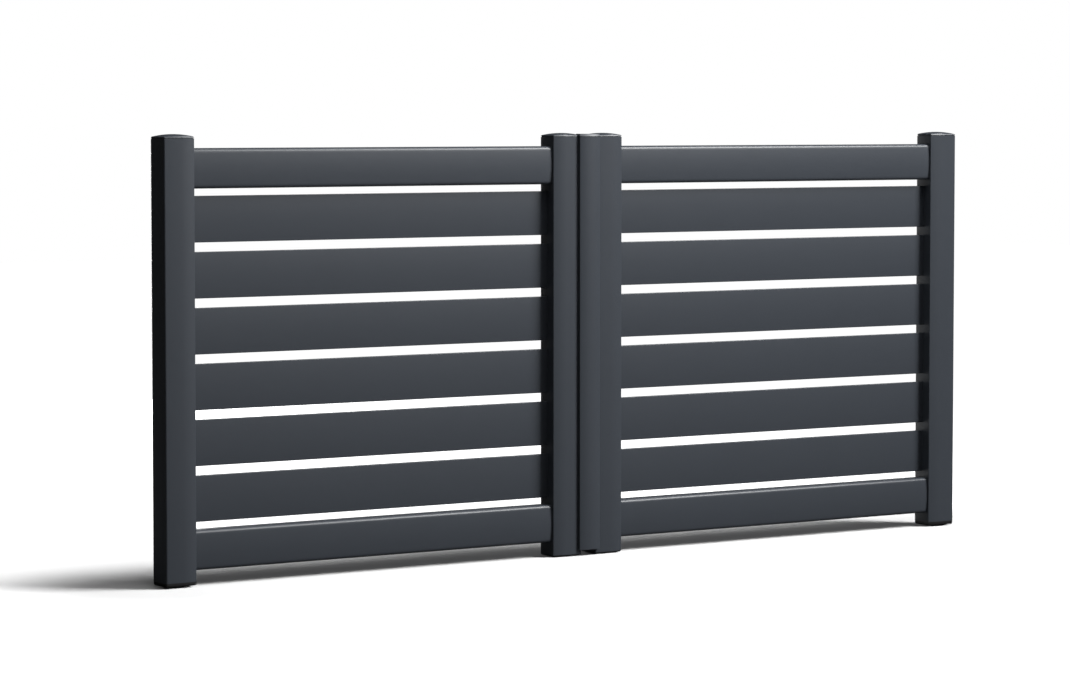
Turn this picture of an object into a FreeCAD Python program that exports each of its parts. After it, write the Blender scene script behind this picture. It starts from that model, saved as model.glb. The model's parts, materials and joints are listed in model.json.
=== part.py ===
import FreeCAD, Part
import math
import os

# Double-leaf slatted driveway gate, in millimetres. X runs along the gate, Y points into the
# property, Z is up. The origin is on the ground, on the axis of the left pivot.

# Leaves
leaf_width = 1352.0  # outer side to meeting side of one leaf
leaf_gap = 48.0  # between the two meeting stiles
pivot_inset = 42.0  # outer side of a leaf to its pivot axis
outer_foot_z = 11.0  # ground to the feet of the outer stiles, which stand on the pivots
meeting_foot_z = 2.0  # ground to the feet of the meeting stiles, which are longer

# Stiles: flat outside, with a front and a back that bow towards the panel
stile_width = 95.0
stile_depth = 74.5  # across the outer side
stile_panel_depth = 64.0  # across the side that faces the panel
stile_bow_length = 42.0  # from the panel side to where the front and back become flat
stile_corner_radius = 5.0
least_corner_radius = 0.5  # of the outlines inside a stile, which shrink with their inset
stile_wall = 2.5
stile_head = 26.0  # top of the top rail to the top of the stiles

# Caps and foot plugs of the stiles
cap_height = 11.5  # top of the stile to the middle of the cap
cap_rise_along = 3.0  # how far the cap's top rises along the gate, from its ends to its middle
cap_rise_across = 5.0  # how far it rises across the gate, from its front to its middle
cap_joint = 1.8  # height and depth of the shadow joint under the cap
cap_bevel_height = 9.0  # of the sloping edge, before the domed top cuts it
cap_bevel = 4.5  # how far the edge leans in over that height
foot_flange = 3.5  # height of the plug's plate under the stile
foot_flange_inset = 0.5
plug_depth = 22.0  # how far the spigots reach into the stile
plug_wall = 2.5
plug_clearance = 0.2  # spigot to the inside of the stile

# Rails: bowed front and back, rounded edges
rail_height = 108.0
rail_depth = 48.5  # across the top and bottom, before the edges are rounded
rail_crown = 2.7
rail_edge_radius = 10.0
rail_wall = 2.0
bottom_rail_z = 43.0  # ground to the underside of the bottom rail

# Slats, stacked between the rails
slat_count = 6
slat_height = 124.7
slat_gap = 25.3
slat_rail_gap = 19.5
slat_thickness = 14.0
slat_edge_radius = 1.5
slat_wall = 1.5
slat_front_y = -1.5  # front plane, from the middle of the stiles' depth

# Cover strip on the left leaf, over the gap between the leaves
strip_fixed_lap = 12.0  # over the left leaf's stile, which carries the strip
strip_free_lap = 10.0  # over the right leaf's stile
strip_bow = 5.0
strip_lip = 5.0  # thickness at the free edge
strip_standoff = 2.5  # free edge to the front of the right leaf's stile
strip_web = 5.0  # thickness of the web beside the left leaf's stile
strip_web_reach = 30.0  # how far the web runs back beside the stile
strip_foot_z = 17.5  # ground to the lower end of the strip
strip_cap = 9.0  # height of the strip's upper end cap
strip_cap_bevel = 3.5  # how far the cap's front leans back
strip_plug = 3.0  # height of the strip's lower end cap

# Floor pivots under the outer stiles
pivot_plate_width = 46.0
pivot_plate_corner = 8.0
pivot_plate = 4.0
pivot_collar_radius = 15.0
pivot_pin_radius = 8.0
pivot_pin_length = 24.0  # above the collar
pivot_pin_chamfer = 1.5
pivot_thrust_gap = 0.3  # collar to the underside of the bush
pivot_running_gap = 0.05  # pin to the bush, on the radius
bush_wall = 4.0
bush_seat_gap = 0.05  # bush to the boss of the foot plug, on the radius
boss_wall = 5.0
bolt_hole_radius = 2.75
bolt_spacing = 31.0  # both ways, about the pin

# Places worked out from the sizes above
left_outer_x = -pivot_inset
left_meeting_x = left_outer_x + leaf_width
right_meeting_x = left_meeting_x + leaf_gap
right_outer_x = right_meeting_x + leaf_width
right_pivot_x = right_outer_x - pivot_inset
first_slat_z = bottom_rail_z + rail_height + slat_rail_gap
slat_pitch = slat_height + slat_gap
top_rail_z = first_slat_z + slat_count * slat_pitch - slat_gap + slat_rail_gap
stile_top_z = top_rail_z + rail_height + stile_head
plug_inset = stile_wall + plug_clearance
bush_bore = pivot_pin_radius + pivot_running_gap
bush_length = foot_flange + plug_depth
TOLERANCE = 0.01
UP = FreeCAD.Vector(0, 0, 1)


def point(x, y, z=0.0):
    return FreeCAD.Vector(x, y, z)


def line(start, end):
    return Part.LineSegment(start, end).toShape()


def arc(start, middle, end):
    return Part.Arc(start, middle, end).toShape()


def extrude(edges, direction):
    return Part.Face(Part.Wire(edges)).extrude(direction)


def arc_radius(half_chord, rise):
    return (half_chord ** 2 + rise ** 2) / (2 * rise)


def edges_along(solid, direction):
    """Straight edges of a solid that run along a direction."""
    found = []
    for edge in solid.Edges:
        if isinstance(edge.Curve, Part.Line) and edge.Curve.Direction.cross(direction).Length < TOLERANCE:
            found.append(edge)
    return found


def stile_outline(panel_x, outward, inset, z):
    """Edges of a stile's outline, shrunk by inset; outward is the X direction away from the panel."""
    half = stile_depth / 2 - inset
    far = stile_width - inset
    middle = (inset + stile_bow_length) / 2
    bow = arc_radius(stile_bow_length, (stile_depth - stile_panel_depth) / 2)
    bow_centre = bow - stile_depth / 2
    corner = max(stile_corner_radius - inset, least_corner_radius)
    shoulder = corner * (1 - math.sqrt(0.5))

    def place(along, y):
        return point(panel_x + outward * along, y, z)

    def bow_half(along):
        return math.sqrt((bow - inset) ** 2 - (stile_bow_length - along) ** 2) - bow_centre

    def long_side(front):
        """From the panel side to the outer side, along the front (-1) or the back (1)."""
        near = place(inset, front * bow_half(inset))
        bow_end = place(stile_bow_length, front * half)
        turn_start = place(far - corner, front * half)
        turn_middle = place(far - shoulder, front * (half - shoulder))
        turn_end = place(far, front * (half - corner))
        return [
            arc(near, place(middle, front * bow_half(middle)), bow_end),
            line(bow_end, turn_start),
            arc(turn_start, turn_middle, turn_end),
        ]

    panel_side = line(place(inset, bow_half(inset)), place(inset, -bow_half(inset)))
    outer_side = line(place(far, corner - half), place(far, half - corner))
    return [panel_side] + long_side(-1) + [outer_side] + long_side(1)[::-1]


def stile_prism(panel_x, outward, inset, low_z, high_z):
    return extrude(stile_outline(panel_x, outward, inset, low_z), point(0, 0, high_z - low_z))


def make_stile(panel_x, outward, foot_z):
    low_z = foot_z + foot_flange
    outside = stile_prism(panel_x, outward, 0, low_z, stile_top_z)
    return outside.cut(stile_prism(panel_x, outward, stile_wall, low_z, stile_top_z))


def make_spigot(panel_x, outward, low_z, high_z):
    """Tube that fills the end of a stile with a small clearance."""
    outside = stile_prism(panel_x, outward, plug_inset, low_z, high_z)
    return outside.cut(stile_prism(panel_x, outward, plug_inset + plug_wall, low_z, high_z))


def make_dome(middle_x):
    """Solid under a cap's top: an arc across the gate, swept along a flatter arc along the gate."""
    apex_z = stile_top_z + cap_height
    edge_z = apex_z - cap_rise_across
    base_z = stile_top_z - cap_height
    front = point(middle_x, -stile_depth / 2, edge_z)
    back = point(middle_x, stile_depth / 2, edge_z)
    base_front = point(middle_x, -stile_depth / 2, base_z)
    base_back = point(middle_x, stile_depth / 2, base_z)
    section = Part.Face(
        Part.Wire(
            [
                arc(front, point(middle_x, 0, apex_z), back),
                line(back, base_back),
                line(base_back, base_front),
                line(base_front, front),
            ]
        )
    )
    sweep_radius = arc_radius(stile_width / 2, cap_rise_along)
    centre = point(middle_x, 0, apex_z - sweep_radius)
    half_angle = math.degrees(math.asin(stile_width / sweep_radius))
    section.rotate(centre, point(0, 1, 0), -half_angle)
    return section.revolve(centre, point(0, 1, 0), 2 * half_angle)


def make_cap(panel_x, outward):
    """Cap with sloping edges and a domed top, over a shadow joint and a spigot in the stile."""
    joint_z = stile_top_z + cap_joint
    sections = [
        Part.Wire(stile_outline(panel_x, outward, inset, z))
        for inset, z in (
            (0, joint_z),
            (cap_bevel, joint_z + cap_bevel_height),
            (cap_bevel, joint_z + cap_bevel_height + cap_height),
        )
    ]
    block = Part.makeLoft(sections, True, True)
    crown = block.common(make_dome(panel_x + outward * stile_width / 2))
    neck = stile_prism(panel_x, outward, cap_joint, stile_top_z, joint_z)
    spigot = make_spigot(panel_x, outward, stile_top_z - plug_depth, stile_top_z)
    return crown.fuse([neck, spigot]).removeSplitter()


def make_foot_plug(panel_x, outward, foot_z, bush_x=None):
    """Plug in the lower end of a stile; the one over a pivot has a boss with a hole for the bush."""
    flange_z = foot_z + foot_flange
    flange = stile_prism(panel_x, outward, foot_flange_inset, foot_z, flange_z)
    plug = flange.fuse(make_spigot(panel_x, outward, flange_z, flange_z + plug_depth))
    if bush_x is None:
        return plug
    hole_radius = bush_bore + bush_wall + bush_seat_gap
    foot = point(bush_x, 0, foot_z)
    boss = Part.makeCylinder(hole_radius + boss_wall, bush_length, foot)
    return plug.fuse(boss).cut(Part.makeCylinder(hole_radius, bush_length, foot))


def make_bush(pivot_x):
    foot = point(pivot_x, 0, outer_foot_z)
    bush = Part.makeCylinder(bush_bore + bush_wall, bush_length, foot)
    return bush.cut(Part.makeCylinder(bush_bore, bush_length, foot))


def make_pivot(pivot_x):
    """Square floor plate with four bolt holes, and a pin on a collar that carries the leaf."""
    half = pivot_plate_width / 2
    plate = Part.makeBox(2 * half, 2 * half, pivot_plate, point(pivot_x - half, -half))
    plate = plate.makeFillet(pivot_plate_corner, edges_along(plate, UP))
    collar_z = outer_foot_z - pivot_thrust_gap
    collar = Part.makeCylinder(pivot_collar_radius, collar_z, point(pivot_x, 0))
    pin = Part.makeCylinder(pivot_pin_radius, pivot_pin_length, point(pivot_x, 0, collar_z))
    tip = [edge for edge in pin.Edges if edge.BoundBox.ZMin > collar_z + TOLERANCE]
    pin = pin.makeChamfer(pivot_pin_chamfer, tip)
    pivot = plate.fuse([collar, pin])
    for x in (-bolt_spacing / 2, bolt_spacing / 2):
        for y in (-bolt_spacing / 2, bolt_spacing / 2):
            hole = Part.makeCylinder(bolt_hole_radius, pivot_plate, point(pivot_x + x, y))
            pivot = pivot.cut(hole)
    return pivot.removeSplitter()


def rail_prism(start_x, end_x, low_z, inset):
    """Solid with a rail's outline, shrunk by inset: bowed front and back, rounded long edges."""
    half = rail_depth / 2 - inset
    bottom_z = low_z + inset
    top_z = low_z + rail_height - inset
    middle_z = (bottom_z + top_z) / 2
    front_low = point(start_x, -half, bottom_z)
    front_high = point(start_x, -half, top_z)
    back_high = point(start_x, half, top_z)
    back_low = point(start_x, half, bottom_z)
    edges = [
        arc(front_low, point(start_x, -half - rail_crown, middle_z), front_high),
        line(front_high, back_high),
        arc(back_high, point(start_x, half + rail_crown, middle_z), back_low),
        line(back_low, front_low),
    ]
    prism = extrude(edges, point(end_x - start_x, 0, 0))
    return prism.makeFillet(rail_edge_radius - inset, edges_along(prism, point(1, 0, 0)))


def make_rail(start_x, end_x, low_z):
    return rail_prism(start_x, end_x, low_z, 0).cut(rail_prism(start_x, end_x, low_z, rail_wall))


def make_slat(start_x, end_x, low_z):
    length = end_x - start_x
    slat = Part.makeBox(length, slat_thickness, slat_height, point(start_x, slat_front_y, low_z))
    slat = slat.makeFillet(slat_edge_radius, edges_along(slat, point(1, 0, 0)))
    hollow = Part.makeBox(
        length,
        slat_thickness - 2 * slat_wall,
        slat_height - 2 * slat_wall,
        point(start_x, slat_front_y + slat_wall, low_z + slat_wall),
    )
    return slat.cut(hollow)


def strip_outline(z, front_cut=0.0):
    """Edges of the strip: bowed front, free lip on the right, lap and web on the left leaf's stile."""
    stile_front_y = -stile_depth / 2
    lip_back_y = stile_front_y - strip_standoff
    front_y = lip_back_y - strip_lip + front_cut
    web_back_y = stile_front_y + strip_web_reach
    left_x = left_meeting_x - strip_fixed_lap
    right_x = right_meeting_x + strip_free_lap
    web_x = left_meeting_x + strip_web
    corners = [
        point(right_x, front_y, z),
        point(right_x, lip_back_y, z),
        point(web_x, lip_back_y, z),
        point(web_x, web_back_y, z),
        point(left_meeting_x, web_back_y, z),
        point(left_meeting_x, stile_front_y, z),
        point(left_x, stile_front_y, z),
        point(left_x, front_y, z),
    ]
    crest = point((left_x + right_x) / 2, front_y - strip_bow, z)
    sides = [line(start, end) for start, end in zip(corners, corners[1:])]
    return sides + [arc(corners[-1], crest, corners[0])]


def strip_prism(low_z, high_z, front_cut=0.0):
    return extrude(strip_outline(low_z, front_cut), point(0, 0, high_z - low_z))


def make_strip_cap():
    """Upper end of the cover strip: a shadow joint under a front that leans back."""
    joint_z = stile_top_z + cap_joint
    neck = strip_prism(stile_top_z, joint_z, cap_joint)
    sections = [
        Part.Wire(strip_outline(joint_z)),
        Part.Wire(strip_outline(stile_top_z + strip_cap, strip_cap_bevel)),
    ]
    return Part.makeLoft(sections, True, True).fuse(neck).removeSplitter()


def make_leaf(side, outer_x, meeting_x, pivot_x):
    """All pieces of one leaf, by name; the leaf runs from its outer side to its meeting side."""
    inward = 1 if meeting_x > outer_x else -1
    outer_panel_x = outer_x + inward * stile_width
    meeting_panel_x = meeting_x - inward * stile_width
    start_x = min(outer_panel_x, meeting_panel_x)
    end_x = max(outer_panel_x, meeting_panel_x)
    pieces = {
        "outer_stile": make_stile(outer_panel_x, -inward, outer_foot_z),
        "meeting_stile": make_stile(meeting_panel_x, inward, meeting_foot_z),
        "outer_cap": make_cap(outer_panel_x, -inward),
        "meeting_cap": make_cap(meeting_panel_x, inward),
        "outer_foot": make_foot_plug(outer_panel_x, -inward, outer_foot_z, pivot_x),
        "meeting_foot": make_foot_plug(meeting_panel_x, inward, meeting_foot_z),
        "pivot_bush": make_bush(pivot_x),
        "top_rail": make_rail(start_x, end_x, top_rail_z),
        "bottom_rail": make_rail(start_x, end_x, bottom_rail_z),
    }
    for number in range(slat_count):
        low_z = first_slat_z + number * slat_pitch
        pieces["slat_%d" % (number + 1)] = make_slat(start_x, end_x, low_z)
    return {side + "_" + name: shape for name, shape in pieces.items()}


parts = {
    "left_floor_pivot": make_pivot(0.0),
    "right_floor_pivot": make_pivot(right_pivot_x),
    "cover_strip": strip_prism(strip_foot_z + strip_plug, stile_top_z),
    "cover_strip_top_cap": make_strip_cap(),
    "cover_strip_bottom_cap": strip_prism(strip_foot_z, strip_foot_z + strip_plug),
}
parts.update(make_leaf("left", left_outer_x, left_meeting_x, 0.0))
parts.update(make_leaf("right", right_outer_x, right_meeting_x, right_pivot_x))

os.makedirs("parts", exist_ok=True)
for name, shape in parts.items():
    shape.exportStep("parts/%s.step" % name)
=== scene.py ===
import json
import math

import bmesh
import bpy
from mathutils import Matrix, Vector


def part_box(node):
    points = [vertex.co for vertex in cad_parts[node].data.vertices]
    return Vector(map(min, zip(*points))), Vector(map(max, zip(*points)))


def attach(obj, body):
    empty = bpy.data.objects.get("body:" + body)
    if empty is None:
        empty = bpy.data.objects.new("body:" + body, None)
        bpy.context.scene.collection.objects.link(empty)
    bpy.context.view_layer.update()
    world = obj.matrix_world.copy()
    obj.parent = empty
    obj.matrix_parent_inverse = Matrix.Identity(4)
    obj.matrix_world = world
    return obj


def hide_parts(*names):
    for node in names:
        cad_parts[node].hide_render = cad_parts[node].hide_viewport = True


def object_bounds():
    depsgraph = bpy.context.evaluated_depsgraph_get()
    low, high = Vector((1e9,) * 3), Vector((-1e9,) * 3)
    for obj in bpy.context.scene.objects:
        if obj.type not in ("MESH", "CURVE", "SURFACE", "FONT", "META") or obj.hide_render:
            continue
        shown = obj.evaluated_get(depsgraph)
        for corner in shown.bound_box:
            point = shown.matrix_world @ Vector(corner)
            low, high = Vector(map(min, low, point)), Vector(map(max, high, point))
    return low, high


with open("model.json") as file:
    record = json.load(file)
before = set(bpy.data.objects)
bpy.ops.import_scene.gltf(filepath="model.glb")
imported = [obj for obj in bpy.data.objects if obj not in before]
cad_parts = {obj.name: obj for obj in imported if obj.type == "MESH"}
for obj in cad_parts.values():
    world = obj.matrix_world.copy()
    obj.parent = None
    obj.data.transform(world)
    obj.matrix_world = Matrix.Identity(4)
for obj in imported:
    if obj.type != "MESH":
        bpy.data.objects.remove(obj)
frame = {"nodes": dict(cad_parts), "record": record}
cad_low, cad_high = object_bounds()

# Double-leaf slatted driveway gate, in metres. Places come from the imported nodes' boxes, and the
# values below are the shapes that a box does not give, the coatings and the studio.

# Stiles and caps
STILE_PANEL_DEPTH = 0.064
STILE_BOW_LENGTH = 0.042
STILE_CORNER = 0.005
PANEL_EDGE = 0.0008
CUT_EDGE = 0.0003
CAP_JOINT = 0.0018
CAP_RISE_ALONG = 0.003
CAP_RISE_ACROSS = 0.005
CAP_BEVEL = 0.0045
CAP_BEVEL_HEIGHT = 0.009
CAP_EDGE = 0.0012

# Foot plugs: plate under the stile, spigot inside it, and a skirt round the floor pivot
FOOT_INSET = 0.0005
FOOT_ROUND = 0.0045
SPIGOT_INSET = 0.0027
SPIGOT_WALL = 0.0025
SKIRT_GAP = 0.004
SKIRT_WALL_INSET = 0.0058

# Rails, slats and the cover strip
RAIL_DEPTH = 0.0485
RAIL_EDGE = 0.010
SLAT_EDGE = 0.0015
STRIP_BOW = 0.005
STRIP_LIP = 0.005
STRIP_WEB = 0.005
STRIP_EDGE = 0.0008
STRIP_CAP_BEVEL = 0.0035

# Fineness of round edges, in steps
EDGE_STEPS = 6
BOW_STEPS = 20
DOME_STEPS = 10
BEVEL_STEPS = 12
SHARP_ANGLE = math.radians(30)

# Coatings: colour, roughness, specular level, and the scale and height of the grain
ANTHRACITE = (0.041, 0.0475, 0.058)
COATINGS = {
    "powder_coat": (ANTHRACITE, 0.40, 0.4, 1400.0, 0.00002),
    "cap_paint": (ANTHRACITE, 0.42, 0.4, 900.0, 0.00001),
    "black_nylon": ((0.012, 0.012, 0.013), 0.5, 0.3, 1100.0, 0.00005),
    "bush_plastic": ((0.03, 0.03, 0.032), 0.4, 0.4, 700.0, 0.00003),
    "black_steel": ((0.022, 0.023, 0.025), 0.45, 0.4, 600.0, 0.00006),
}

# Unevenness of every coating: scale, detail and share of the clouds in its colour and of the spots
# in its gloss, and detail and strength of its grain
CLOUD_SCALE = 7.0
CLOUD_DETAIL = 3.0
CLOUD_SHARE = 0.04
GLOSS_SCALE = 90.0
GLOSS_DETAIL = 2.0
GLOSS_SHARE = 0.05
GRAIN_DETAIL = 2.0
GRAIN_STRENGTH = 0.5

# Camera, solved from the photograph's straight edges
IMAGE_WIDTH = 1070
FOCAL_PIXELS = 3688.3
CAMERA_PLACE = (-4.7534, -8.6338, 1.2558)
CAMERA_AZIMUTH = math.radians(34.467)
CAMERA_PITCH = math.radians(3.462)
SENSOR_WIDTH = 36.0

# World: light from all round, and the white backdrop. In reflections the backdrop is a low field
# behind the gate: the sine of its top's elevation, half its angle across and the fade beyond that.
AMBIENT = 0.05
BACKDROP = 1.0
BACKDROP_TOP = 0.10
BACKDROP_HALF_ANGLE = math.radians(20)
BACKDROP_FADE = math.radians(15)

# Floor: half its width, its grey as the camera sees it and as it lights the gate. To the camera it
# glows more with the distance from the foot of the closed gate, a painted light that thins the
# gate's shadow there, and is white further off.
FLOOR_REACH = 20.0
FLOOR_SEEN = 0.90
FLOOR_BOUNCE = 0.12
FLOOR_ROUGHNESS = 0.9
FLOOR_GLOW_FROM = 0.16
FLOOR_GLOW_TO = 0.62
FLOOR_GLOW_SHARE = 0.75
WHITE_FROM = 0.7
WHITE_TO = 2.2

# Lamps: name, place, target, size, power in watts and spread. The key light is turned past the
# gate, which evens it out. The fill's narrow beam runs behind the closed gate, to the back of the
# open left leaf.
LAMPS = (
    ("key", (5.3, -4.0, 4.6), (0.483, -4.345, 3.7), (4.2, 2.2), 1145, math.pi),
    ("top", (1.3, -1.2, 4.5), (1.3, 0.0, 0.0), (4.0, 2.0), 70, math.pi),
    ("back", (2.1, 6.0, 0.6), (1.3, 0.0, 0.6), (2.4, 1.0), 125, math.pi),
    ("fill", (-3.0, 0.95, 0.8), (0.0, 1.15, 0.6), (0.5, 0.9), 5, math.radians(28)),
)


def arc_radius(half_chord, rise):
    return (half_chord ** 2 + rise ** 2) / (2 * rise)


def arc_points(centre, radius, start, end, steps):
    angles = [start + (end - start) * step / steps for step in range(steps + 1)]
    return [(centre[0] + radius * math.cos(a), centre[1] + radius * math.sin(a)) for a in angles]


def bowed_side(half, rise, radius):
    """A bowed edge from -half to half that rises above its chord, with rounded ends."""
    bow = arc_radius(half, rise)
    low = rise - bow
    turn = (radius - half, low + math.sqrt((bow - radius) ** 2 - (half - radius) ** 2))
    start = math.atan2(turn[1] - low, turn[0])
    left = arc_points(turn, radius, math.pi, start, EDGE_STEPS)
    top = arc_points((0, low), bow, start, math.pi - start, BOW_STEPS)
    right = [(-x, y) for x, y in reversed(left)]
    return left + top[1:-1] + right


def stile_outline(width, depth, inset):
    """Outline of a stile from its panel side outwards, shrunk by inset, front first."""
    half = depth / 2 - inset
    far = width - inset
    bow = arc_radius(STILE_BOW_LENGTH, (depth - STILE_PANEL_DEPTH) / 2)
    centre = (STILE_BOW_LENGTH, bow - depth / 2)
    edge_x = inset + PANEL_EDGE
    reach = math.sqrt((bow - inset - PANEL_EDGE) ** 2 - (centre[0] - edge_x) ** 2)
    edge = (edge_x, centre[1] - reach)
    start = math.pi + math.atan2(reach, centre[0] - edge_x)
    corner = max(STILE_CORNER - inset, CUT_EDGE)
    front = arc_points(edge, PANEL_EDGE, math.pi, start, EDGE_STEPS)
    front += arc_points(centre, bow - inset, start, 1.5 * math.pi, BOW_STEPS)[1:]
    turn = (far - corner, corner - half)
    front += arc_points(turn, corner, 1.5 * math.pi, 2 * math.pi, EDGE_STEPS)
    return front + [(x, -y) for x, y in reversed(front)]


def rail_outline(depth, height):
    """Outline of a rail as (y, z) about its middle: bowed front and back, rounded edges."""
    side = bowed_side(height / 2, (depth - RAIL_DEPTH) / 2, RAIL_EDGE)
    back = [(RAIL_DEPTH / 2 + rise, along) for along, rise in side]
    return back + [(-y, -z) for y, z in back]


def slat_outline(depth, height):
    """Outline of a slat as (y, z) about its middle, a rectangle with rounded edges."""
    points = []
    for quarter, (side_y, side_z) in enumerate(((1, 1), (-1, 1), (-1, -1), (1, -1))):
        centre = (side_y * (depth / 2 - SLAT_EDGE), side_z * (height / 2 - SLAT_EDGE))
        start = quarter * math.pi / 2
        points += arc_points(centre, SLAT_EDGE, start, start + math.pi / 2, EDGE_STEPS)
    return points


def add_mesh(name, body):
    """New object from a bmesh: outward normals, smooth faces, sharp edges where faces turn."""
    bmesh.ops.recalc_face_normals(body, faces=body.faces)
    for face in body.faces:
        face.smooth = True
    for edge in body.edges:
        edge.smooth = edge.calc_face_angle(math.pi) < SHARP_ANGLE
    mesh = bpy.data.meshes.new(name)
    body.to_mesh(mesh)
    body.free()
    piece = bpy.data.objects.new(name, mesh)
    bpy.context.scene.collection.objects.link(piece)
    return piece


def skin(name, rings, tip=None, hollow=False):
    """Closed solid over a row of rings of equal length.

    The end rings are filled. A tip closes the last one with a fan, and a hollow solid has no fills
    and runs on from its last ring to its first.
    """
    body = bmesh.new()
    loops = [[body.verts.new(place) for place in ring] for ring in rings]
    if hollow:
        loops.append(loops[0])
    for low, high in zip(loops, loops[1:]):
        for i in range(len(low)):
            j = (i + 1) % len(low)
            body.faces.new((low[i], low[j], high[j], high[i]))
    if not hollow:
        body.faces.new(loops[0])
    if tip is None and not hollow:
        body.faces.new(loops[-1])
    elif tip is not None:
        point = body.verts.new(tip)
        for i in range(len(loops[-1])):
            body.faces.new((loops[-1][i], loops[-1][(i + 1) % len(loops[-1])], point))
    return add_mesh(name, body)


def stand_for(piece, node, material):
    """The piece takes the node's place, body and material slot."""
    piece.data.materials.append(material)
    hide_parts(node)
    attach(piece, body_of[node])


class StileFrame:
    """Where a stile stands: its panel side, its direction outwards and its size."""

    def __init__(self, node, panel_at_low_x):
        low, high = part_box(node)
        self.outward = 1 if panel_at_low_x else -1
        self.panel_x = low.x if panel_at_low_x else high.x
        self.middle_x = (low.x + high.x) / 2
        self.middle_y = (low.y + high.y) / 2
        self.width = high.x - low.x
        self.depth = high.y - low.y
        self.low_z = low.z
        self.high_z = high.z

    def ring(self, inset, z):
        outline = stile_outline(self.width, self.depth, inset)
        return [(self.panel_x + self.outward * x, self.middle_y + y, z) for x, y in outline]


def make_stile(node, stile):
    rings = [
        stile.ring(CUT_EDGE, stile.low_z),
        stile.ring(0, stile.low_z + CUT_EDGE),
        stile.ring(0, stile.high_z - CUT_EDGE),
        stile.ring(CUT_EDGE, stile.high_z),
    ]
    return skin("painted_" + node, rings)


def smooth_min(a, b, reach):
    """The smaller of two heights, rounded where they meet."""
    overlap = max(reach - abs(a - b), 0) / reach
    return min(a, b) - overlap ** 2 * reach / 4


def make_cap(node, stile):
    """Shadow joint, sloping edge and a top domed both ways, rounded where slope and top meet."""
    apex_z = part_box(node)[1].z
    base_z = stile.high_z
    joint_z = base_z + CAP_JOINT
    along = arc_radius(stile.width / 2, CAP_RISE_ALONG)
    across = arc_radius(stile.depth / 2, CAP_RISE_ACROSS)

    def dome(x, y):
        dx = x - stile.middle_x
        dy = y - stile.middle_y
        fall = along - math.sqrt(along ** 2 - dx ** 2) + across - math.sqrt(across ** 2 - dy ** 2)
        return apex_z - fall

    rings = [
        stile.ring(CAP_JOINT, base_z),
        stile.ring(CAP_JOINT, joint_z),
        stile.ring(CUT_EDGE, joint_z),
    ]
    slope = CAP_BEVEL_HEIGHT / CAP_BEVEL
    for step in range(BEVEL_STEPS + 1):
        inset = CAP_BEVEL * step / BEVEL_STEPS
        bevel_z = joint_z + CUT_EDGE + inset * slope
        ring = stile.ring(inset, 0)
        rings.append([(x, y, smooth_min(bevel_z, dome(x, y), CAP_EDGE)) for x, y, _ in ring])
    rim = rings[-1]
    for step in range(1, DOME_STEPS):
        share = 1 - step / DOME_STEPS
        shrunk = [
            (
                stile.middle_x + (x - stile.middle_x) * share,
                stile.middle_y + (y - stile.middle_y) * share,
            )
            for x, y, _ in rim
        ]
        rings.append([(x, y, dome(x, y)) for x, y in shrunk])
    return skin("painted_" + node, rings, tip=(stile.middle_x, stile.middle_y, apex_z))


def rounded_edge(low_z, high_z):
    """Insets and heights up a foot's lower edge, which is rounded over its whole height."""
    rows = []
    for step in range(EDGE_STEPS + 1):
        turn = step / EDGE_STEPS * math.pi / 2
        inset = FOOT_INSET + FOOT_ROUND * (1 - math.sin(turn))
        rows.append((inset, low_z + (high_z - low_z) * (1 - math.cos(turn))))
    return rows


def make_meeting_foot(node, stile):
    """Plug of a meeting stile: rounded plate and a hollow spigot inside the stile."""
    low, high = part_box(node)
    inner = SPIGOT_INSET + SPIGOT_WALL
    rows = rounded_edge(low.z, stile.low_z)
    rows += [(SPIGOT_INSET, stile.low_z), (SPIGOT_INSET, high.z)]
    rows += [(inner, high.z), (inner, stile.low_z)]
    return skin("moulded_" + node, [stile.ring(inset, z) for inset, z in rows])


def add_skirt(foot_node, stile, material):
    """Thin rim under an outer stile's plug, which hides the floor pivot and turns clear of it."""
    top_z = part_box(foot_node)[0].z
    outside = rounded_edge(SKIRT_GAP, top_z)
    rows = [(SKIRT_WALL_INSET, SKIRT_GAP)] + outside + [(SKIRT_WALL_INSET, top_z)]
    skirt = skin(foot_node + "_skirt", [stile.ring(inset, z) for inset, z in rows], hollow=True)
    skirt.data.materials.append(material)
    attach(skirt, body_of[foot_node])


def make_bar(node, outline_of):
    """Rail or slat: its outline, run along X between the stiles."""
    low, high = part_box(node)
    middle = (low + high) / 2
    outline = outline_of(high.y - low.y, high.z - low.z)
    rings = [[(x, middle.y + y, middle.z + z) for y, z in outline] for x in (low.x, high.x)]
    return skin("painted_" + node, rings)


def strip_outline(box_low, box_high, stile, front_cut=0.0):
    """Cover strip as (x, y): bowed front, free lip on the right, lap and web on the left stile."""
    half = (box_high.x - box_low.x) / 2
    middle_x = (box_low.x + box_high.x) / 2
    front_y = box_low.y + STRIP_BOW
    lip_back_y = front_y + STRIP_LIP
    stile_x = stile.panel_x + stile.width
    stile_front_y = stile.middle_y - stile.depth / 2
    web_x = stile_x + STRIP_WEB
    bow = bowed_side(half, STRIP_BOW, STRIP_EDGE)
    front = [(middle_x + along, front_y + front_cut - rise) for along, rise in bow]
    return front + [
        (box_high.x, lip_back_y - STRIP_EDGE),
        (box_high.x - STRIP_EDGE, lip_back_y),
        (web_x, lip_back_y),
        (web_x, box_high.y),
        (stile_x, box_high.y),
        (stile_x, stile_front_y),
        (box_low.x, stile_front_y),
    ]


def make_strip(node, stile):
    low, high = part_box(node)
    rings = [[(x, y, z) for x, y in strip_outline(low, high, stile)] for z in (low.z, high.z)]
    return skin("painted_" + node, rings)


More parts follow.
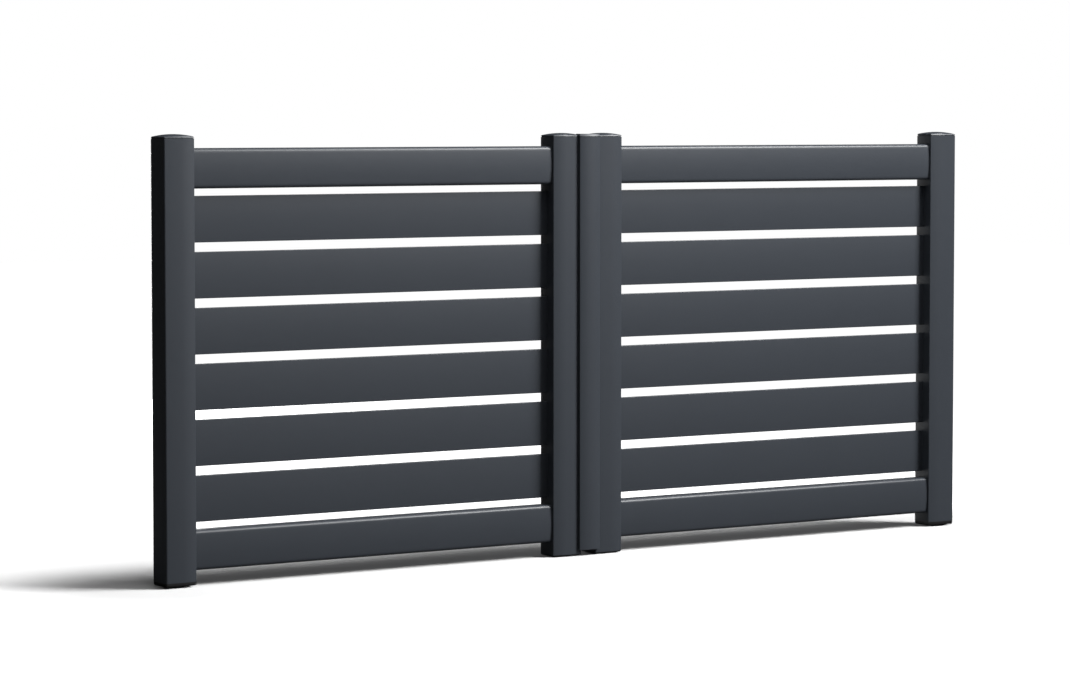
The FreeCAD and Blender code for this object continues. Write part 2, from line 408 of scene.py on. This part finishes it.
def make_strip_cap(node, stile):
    """Upper end of the strip: a shadow joint under a front that leans back to a rounded edge."""
    low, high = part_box(node)
    joint_z = low.z + CAP_JOINT
    levels = [
        (low.z, CAP_JOINT),
        (joint_z, CAP_JOINT),
        (joint_z, CUT_EDGE),
        (joint_z + CUT_EDGE, 0.0),
    ]
    lean = STRIP_CAP_BEVEL / (high.z - joint_z)
    for step in range(EDGE_STEPS + 1):
        turn = step / EDGE_STEPS * math.pi / 2
        z = high.z - CAP_EDGE * (1 - math.sin(turn))
        levels.append((z, (z - joint_z) * lean + CAP_EDGE * (1 - math.cos(turn))))
    rings = [[(x, y, z) for x, y in strip_outline(low, high, stile, cut)] for z, cut in levels]
    return skin("painted_" + node, rings)


def noise(tree, place, scale, detail):
    texture = tree.nodes.new("ShaderNodeTexNoise")
    texture.inputs["Scale"].default_value = scale
    texture.inputs["Detail"].default_value = detail
    tree.links.new(place, texture.inputs["Vector"])
    return texture.outputs["Fac"]


def map_range(tree, value, low, high):
    node = tree.nodes.new("ShaderNodeMapRange")
    node.inputs["To Min"].default_value = low
    node.inputs["To Max"].default_value = high
    tree.links.new(value, node.inputs["Value"])
    return node.outputs["Result"]


def mix_colour(tree, factor, first, second):
    mix = tree.nodes.new("ShaderNodeMix")
    mix.data_type = "RGBA"
    mix.inputs["A"].default_value = (*first, 1)
    mix.inputs["B"].default_value = (*second, 1)
    tree.links.new(factor, mix.inputs["Factor"])
    return mix.outputs["Result"]


def coating(name, colour, roughness, specular, grain_scale, grain_height):
    """Paint or plastic with a fine grain, cloudy gloss and a slight unevenness of colour."""
    material = bpy.data.materials.new(name)
    material.use_nodes = True
    tree = material.node_tree
    shader = tree.nodes["Principled BSDF"]
    place = tree.nodes.new("ShaderNodeTexCoord").outputs["Object"]
    cloud = noise(tree, place, CLOUD_SCALE, CLOUD_DETAIL)
    dark = [c * (1 - CLOUD_SHARE) for c in colour]
    light = [c * (1 + CLOUD_SHARE) for c in colour]
    tree.links.new(mix_colour(tree, cloud, dark, light), shader.inputs["Base Color"])
    gloss = noise(tree, place, GLOSS_SCALE, GLOSS_DETAIL)
    gloss = map_range(tree, gloss, roughness - GLOSS_SHARE, roughness + GLOSS_SHARE)
    tree.links.new(gloss, shader.inputs["Roughness"])
    bump = tree.nodes.new("ShaderNodeBump")
    bump.inputs["Strength"].default_value = GRAIN_STRENGTH
    bump.inputs["Distance"].default_value = grain_height
    tree.links.new(noise(tree, place, grain_scale, GRAIN_DETAIL), bump.inputs["Height"])
    tree.links.new(bump.outputs["Normal"], shader.inputs["Normal"])
    shader.inputs["Specular IOR Level"].default_value = specular
    return material


def add_camera():
    data = bpy.data.cameras.new("camera")
    data.sensor_width = SENSOR_WIDTH
    data.lens = FOCAL_PIXELS * SENSOR_WIDTH / IMAGE_WIDTH
    camera = bpy.data.objects.new("camera", data)
    camera.location = CAMERA_PLACE
    look = Vector(
        (
            math.sin(CAMERA_AZIMUTH) * math.cos(CAMERA_PITCH),
            math.cos(CAMERA_AZIMUTH) * math.cos(CAMERA_PITCH),
            -math.sin(CAMERA_PITCH),
        )
    )
    camera.rotation_mode = "QUATERNION"
    camera.rotation_quaternion = look.to_track_quat("-Z", "Y")
    bpy.context.scene.collection.objects.link(camera)
    bpy.context.scene.camera = camera


def add_area_light(name, place, target, size, power, spread):
    data = bpy.data.lights.new(name, "AREA")
    data.spread = spread
    data.shape = "RECTANGLE"
    data.size, data.size_y = size
    data.energy = power
    light = bpy.data.objects.new(name, data)
    light.location = place
    light.rotation_mode = "QUATERNION"
    light.rotation_quaternion = (Vector(target) - Vector(place)).to_track_quat("-Z", "Y")
    bpy.context.scene.collection.objects.link(light)


def math_node(tree, operation, first, second):
    node = tree.nodes.new("ShaderNodeMath")
    node.operation = operation
    tree.links.new(first, node.inputs[0])
    tree.links.new(second, node.inputs[1])
    return node.outputs[0]


def smooth_range(tree, value, start, end):
    """0 before start, 1 after end, and a smooth change between them."""
    node = tree.nodes.new("ShaderNodeMapRange")
    node.interpolation_type = "SMOOTHSTEP"
    node.inputs["From Min"].default_value = start
    node.inputs["From Max"].default_value = end
    tree.links.new(value, node.inputs["Value"])
    return node.outputs["Result"]


def vector_node(tree, operation, first, second=None):
    node = tree.nodes.new("ShaderNodeVectorMath")
    node.operation = operation
    tree.links.new(first, node.inputs[0])
    if second is not None:
        node.inputs[1].default_value = second
    return node


def behind_gate(tree, direction):
    """1 for directions behind the gate as the photograph sees it, 0 to the sides and in front."""
    level = vector_node(tree, "MULTIPLY", direction, (1, 1, 0)).outputs["Vector"]
    level = vector_node(tree, "NORMALIZE", level).outputs["Vector"]
    forward = (math.sin(CAMERA_AZIMUTH), math.cos(CAMERA_AZIMUTH), 0)
    along = vector_node(tree, "DOT_PRODUCT", level, forward).outputs["Value"]
    side = math.cos(BACKDROP_HALF_ANGLE + BACKDROP_FADE)
    return smooth_range(tree, along, side, math.cos(BACKDROP_HALF_ANGLE))


def shows_white(tree, mirrored):
    """Share of white for a ray: all for the camera and through glass, mirrored for reflections."""
    path = tree.nodes.new("ShaderNodeLightPath").outputs
    glossy = math_node(tree, "MULTIPLY", path["Is Glossy Ray"], mirrored)
    seen = math_node(tree, "MAXIMUM", path["Is Camera Ray"], path["Is Transmission Ray"])
    return math_node(tree, "MAXIMUM", seen, glossy)


def set_world():
    """Dim studio with a white backdrop: all round for the camera, a low field for reflections."""
    world = bpy.data.worlds.new("studio")
    world.use_nodes = True
    tree = world.node_tree
    direction = tree.nodes.new("ShaderNodeTexCoord").outputs["Generated"]
    height = tree.nodes.new("ShaderNodeSeparateXYZ")
    tree.links.new(direction, height.inputs["Vector"])
    low_sky = smooth_range(tree, height.outputs["Z"], BACKDROP_TOP, BACKDROP_TOP / 2)
    mirrored = math_node(tree, "MULTIPLY", low_sky, behind_gate(tree, direction))
    colour = mix_colour(tree, shows_white(tree, mirrored), (AMBIENT,) * 3, (BACKDROP,) * 3)
    tree.links.new(colour, tree.nodes["Background"].inputs["Color"])
    bpy.context.scene.world = world


def add_floor():
    """Floor that takes the gate's shadow, glows more away from the gate as painted light that thins
    that shadow, and blends into the white backdrop further off.
    """
    body = bmesh.new()
    bmesh.ops.create_grid(body, x_segments=1, y_segments=1, size=FLOOR_REACH)
    floor = add_mesh("floor", body)
    material = bpy.data.materials.new("floor_white")
    material.use_nodes = True
    tree = material.node_tree
    shader = tree.nodes["Principled BSDF"]
    shader.inputs["Roughness"].default_value = FLOOR_ROUGHNESS
    shader.inputs["Specular IOR Level"].default_value = 0.0
    place = tree.nodes.new("ShaderNodeTexCoord").outputs["Object"]
    middle = (cad_low + cad_high) / 2
    from_gate = vector_node(tree, "SUBTRACT", place, (middle.x, 0, 0)).outputs["Vector"]
    white_share = shows_white(tree, behind_gate(tree, from_gate))
    colour = mix_colour(tree, white_share, (FLOOR_BOUNCE,) * 3, (FLOOR_SEEN,) * 3)
    tree.links.new(colour, shader.inputs["Base Color"])

    off = vector_node(tree, "ABSOLUTE", from_gate).outputs["Vector"]
    off = vector_node(tree, "SUBTRACT", off, (cad_high.x - middle.x, 0, 0)).outputs["Vector"]
    off = vector_node(tree, "MAXIMUM", off, (0, 0, 0)).outputs["Vector"]
    distance = vector_node(tree, "LENGTH", off).outputs["Value"]
    # Painted light: emission that grows with the distance from the gate and lightens its shadow
    # there.
    painted_light = map_range(tree, smooth_range(tree, distance, FLOOR_GLOW_FROM, FLOOR_GLOW_TO), 0.0, FLOOR_GLOW_SHARE)
    fade = math_node(tree, "MAXIMUM", painted_light, smooth_range(tree, distance, WHITE_FROM, WHITE_TO))
    fade = math_node(tree, "MULTIPLY", fade, white_share)
    shader.inputs["Emission Color"].default_value = (1, 1, 1, 1)
    tree.links.new(fade, shader.inputs["Emission Strength"])
    floor.data.materials.append(material)


bodies = frame["record"]["behaviour"]["bodies"]
body_of = {node: body for body, nodes in bodies.items() for node in nodes}
slot_of = {part["node"]: part["material_slot"] for part in frame["record"]["subparts"]}

coatings = {name: coating(name, *values) for name, values in COATINGS.items()}
paint = coatings["powder_coat"]
cap_paint = coatings["cap_paint"]
nylon = coatings["black_nylon"]
kept = {
    "foot_plug": nylon,
    "bush": coatings["bush_plastic"],
    "pivot_steel": coatings["black_steel"],
}

stiles = {}
for side in ("left", "right"):
    for place in ("outer", "meeting"):
        stile_node = "%s_%s_stile" % (side, place)
        stile = StileFrame(stile_node, (side == "left") == (place == "meeting"))
        stiles[stile_node] = stile
        stand_for(make_stile(stile_node, stile), stile_node, paint)
        cap_node = "%s_%s_cap" % (side, place)
        stand_for(make_cap(cap_node, stile), cap_node, cap_paint)
        foot_node = "%s_%s_foot" % (side, place)
        if place == "outer":
            add_skirt(foot_node, stile, nylon)
        else:
            stand_for(make_meeting_foot(foot_node, stile), foot_node, nylon)
for node in body_of:
    if node.endswith("_rail"):
        stand_for(make_bar(node, rail_outline), node, paint)
    elif "_slat_" in node:
        stand_for(make_bar(node, slat_outline), node, paint)
    elif slot_of[node] in kept and not node.endswith("_meeting_foot"):
        frame["nodes"][node].data.materials.clear()
        frame["nodes"][node].data.materials.append(kept[slot_of[node]])

strip_stile = stiles["left_meeting_stile"]
for node in ("cover_strip", "cover_strip_bottom_cap"):
    stand_for(make_strip(node, strip_stile), node, paint)
stand_for(make_strip_cap("cover_strip_top_cap", strip_stile), "cover_strip_top_cap", cap_paint)

add_camera()
add_floor()
set_world()
for lamp in LAMPS:
    add_area_light(*lamp)

bpy.context.scene.view_settings.view_transform = "Standard"
